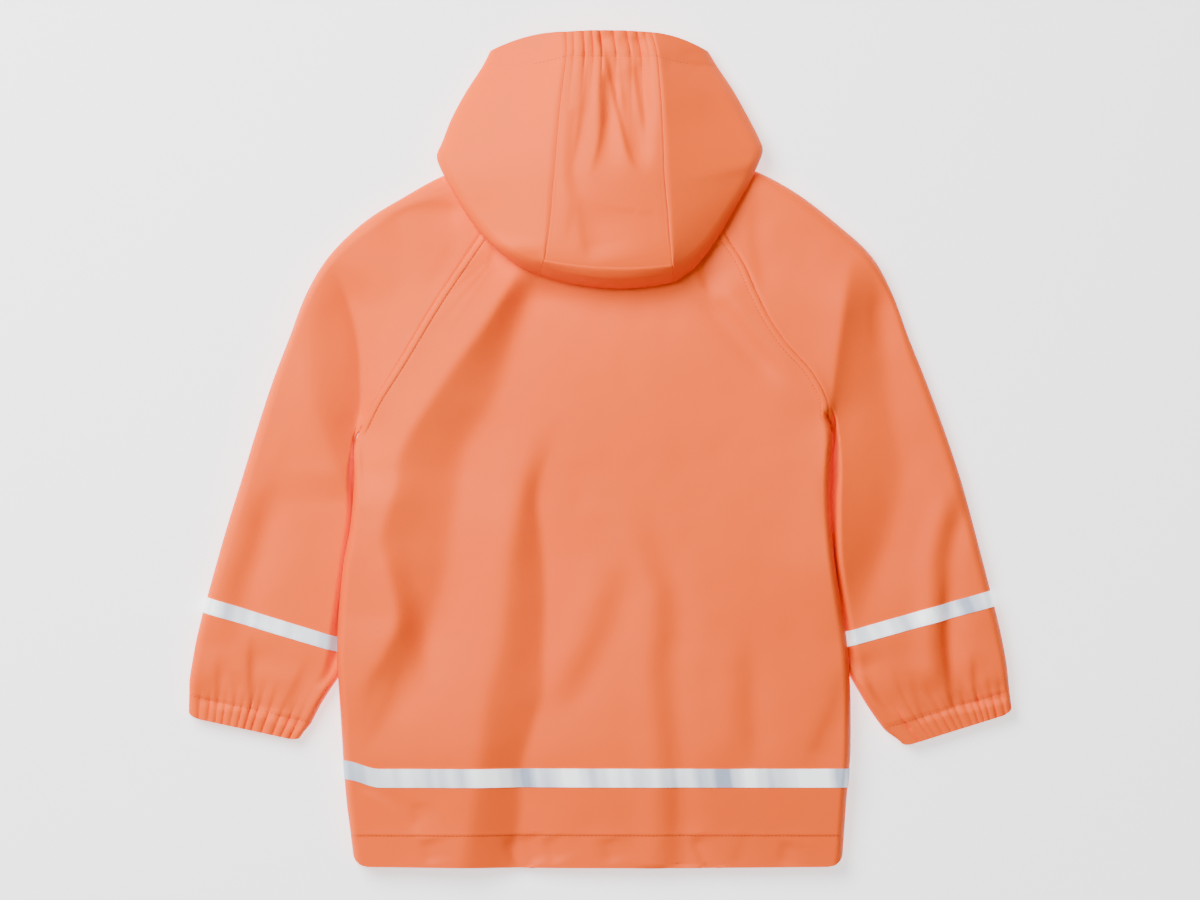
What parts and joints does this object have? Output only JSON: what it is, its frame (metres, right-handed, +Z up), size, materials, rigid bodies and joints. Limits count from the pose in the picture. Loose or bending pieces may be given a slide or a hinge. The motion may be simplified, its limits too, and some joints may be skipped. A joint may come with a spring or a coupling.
{
  "type": "kids rain jacket",
  "caption": "Child's hooded rain jacket of coated fabric with raglan sleeves, gathered cuffs, reflective tapes and a press-stud front, lying flat on its front.",
  "frame": {"origin": "on the surface the jacket lies on, under the middle of its outline", "axes": "+Z up from the surface out of the jacket's back, +Y from the hem towards the hood, +X towards the wearer's right side"},
  "size_m": [0.6862, 0.697, 0.0606],
  "materials": {
    "coated_fabric": "semi-matt smooth coated fabric",
    "reflective_tape": "satin retroreflective tape",
    "stud_cap": "satin enamelled cap"
  },
  "bodies": {
    "root": {"back": "coated_fabric", "front_left": "coated_fabric", "front_right": "coated_fabric", "sleeve_left": "coated_fabric", "sleeve_right": "coated_fabric", "hood_centre": "coated_fabric", "hood_side_left": "coated_fabric", "hood_side_right": "coated_fabric", "tape_back": "reflective_tape", "tape_front_left": "reflective_tape", "tape_front_right": "reflective_tape", "tape_sleeve_left": "reflective_tape", "tape_sleeve_right": "reflective_tape", "stud_1": "stud_cap", "stud_2": "stud_cap", "stud_3": "stud_cap", "stud_4": "stud_cap", "stud_5": "stud_cap"}
  },
  "joints": []
}
